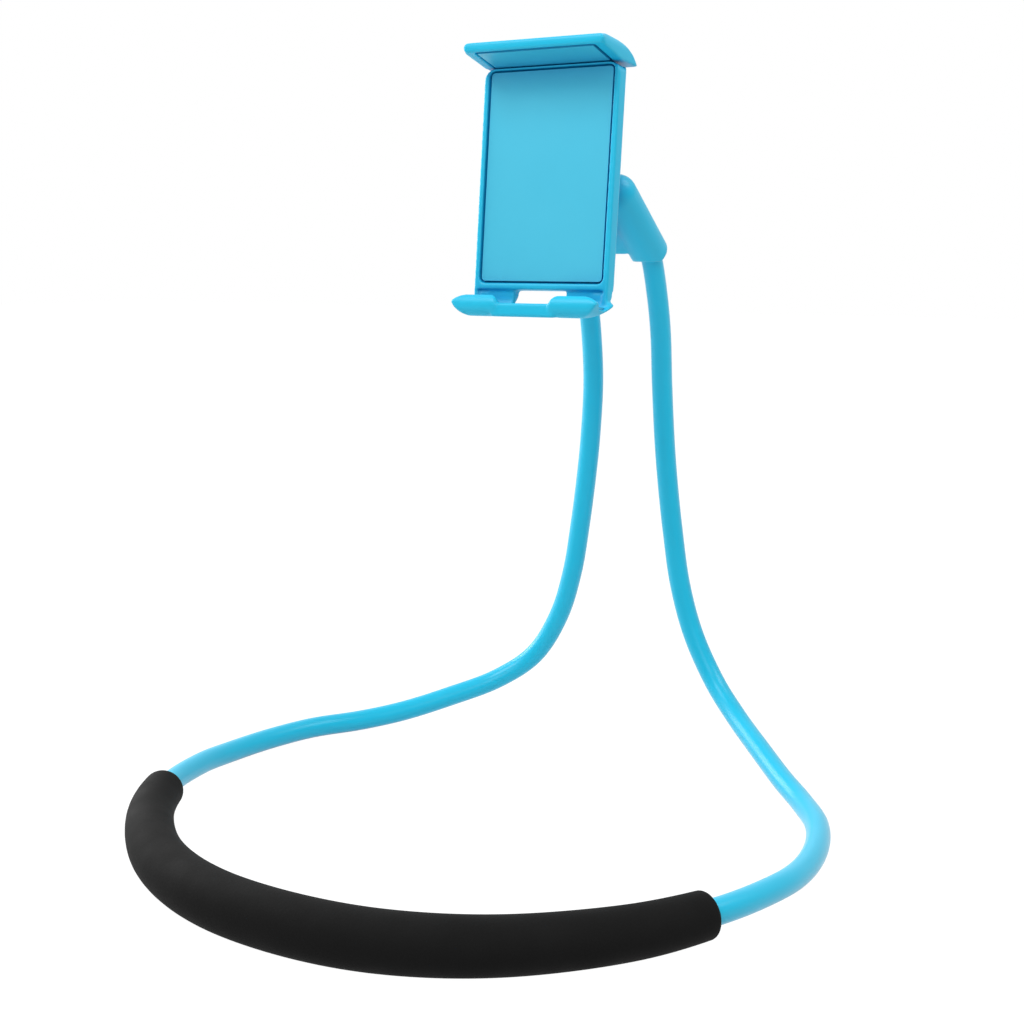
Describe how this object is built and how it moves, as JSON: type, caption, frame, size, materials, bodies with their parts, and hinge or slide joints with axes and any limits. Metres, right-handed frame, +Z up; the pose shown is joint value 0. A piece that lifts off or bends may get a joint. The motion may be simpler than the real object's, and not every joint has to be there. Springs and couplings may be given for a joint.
{
  "type": "gooseneck phone holder",
  "caption": "Neck-hung gooseneck phone holder: bendable neck ring with foam sleeve, two legs, yoke, ball joint and spring clamp.",
  "frame": {"origin": "on the table, under the middle of the whole holder's box", "axes": "+Z up; -Y towards the foam sleeve and the side that the clamp faces; +X to the clamp's right seen from the front"},
  "size_m": [0.236, 0.2388, 0.2656],
  "materials": {
    "hose_pvc": "satin extruded PVC sheath, sky blue",
    "core_aluminium": "drawn soft aluminium wire",
    "foam_rubber": "matte black closed-cell foam rubber",
    "abs_blue": "satin moulded ABS, sky blue",
    "pad_rubber": "soft matte rubber, sky blue",
    "nylon_white": "natural moulded nylon",
    "steel": "zinc-plated steel",
    "black_steel": "black-oxide steel"
  },
  "bodies": {
    "neck_ring": {"foam_sleeve": "foam_rubber", "ring_sheath": "hose_pvc", "ring_core": "core_aluminium", "low_bend_sheaths": "hose_pvc", "low_bend_cores": "core_aluminium"},
    "lower_legs": {"lower_leg_sheaths": "hose_pvc", "lower_leg_cores": "core_aluminium", "mid_bend_sheaths": "hose_pvc", "mid_bend_cores": "core_aluminium"},
    "upper_legs": {"upper_leg_sheaths": "hose_pvc", "upper_leg_cores": "core_aluminium", "top_bend_sheaths": "hose_pvc", "top_bend_cores": "core_aluminium"},
    "yoke_head": {"leg_end_sheaths": "hose_pvc", "leg_end_cores": "core_aluminium", "yoke": "abs_blue", "hose_set_screws": "black_steel", "socket_cap": "abs_blue"},
    "seat": {"ball_seat": "nylon_white"},
    "stud": {"ball_stud": "abs_blue", "stud_washer": "steel", "stud_screw": "steel"},
    "clamp": {"front_frame": "abs_blue", "face_pad": "pad_rubber", "left_foot_pad": "pad_rubber", "right_foot_pad": "pad_rubber", "back_shell": "abs_blue", "housing_screws": "black_steel", "fixed_spring_pins": "steel", "return_springs": "steel"},
    "jaw": {"upper_jaw": "abs_blue", "upper_jaw_pad": "pad_rubber", "moving_spring_pins": "steel"}
  },
  "joints": [
    {"name": "low_bend", "type": "hinge", "parent": "neck_ring", "child": "lower_legs", "pos_m": [0, 0.1129, 0.0274], "axis": [1, 0, 0], "range_deg": [-25, 25], "deforming": ["low_bend_sheaths", "low_bend_cores"]},
    {"name": "mid_bend", "type": "hinge", "parent": "lower_legs", "child": "upper_legs", "pos_m": [0, 0.1154, 0.1131], "axis": [1, 0, 0], "range_deg": [-25, 25], "deforming": ["mid_bend_sheaths", "mid_bend_cores"]},
    {"name": "top_bend", "type": "hinge", "parent": "upper_legs", "child": "yoke_head", "pos_m": [0, 0.1096, 0.1756], "axis": [1, 0, 0], "range_deg": [-25, 25], "deforming": ["top_bend_sheaths", "top_bend_cores"]},
    {"name": "ball_swivel", "type": "hinge", "parent": "yoke_head", "child": "seat", "pos_m": [0, 0.072, 0.2083], "axis": [0, -0.9272, 0.3746], "continuous": true},
    {"name": "ball_tilt", "type": "hinge", "parent": "seat", "child": "stud", "pos_m": [0, 0.072, 0.2083], "axis": [1, 0, 0], "range_deg": [-40, 10]},
    {"name": "clamp_spin", "type": "hinge", "parent": "stud", "child": "clamp", "pos_m": [0, 0.072, 0.2083], "axis": [0, -0.9942, 0.108], "continuous": true},
    {"name": "jaw_slide", "type": "slide", "parent": "clamp", "child": "jaw", "axis": [0, 0.108, 0.9942], "range_m": [0, 0.032], "stiffness_N_per_m": 120, "springref_m": -0.025, "deforming": ["return_springs"]}
  ]
}
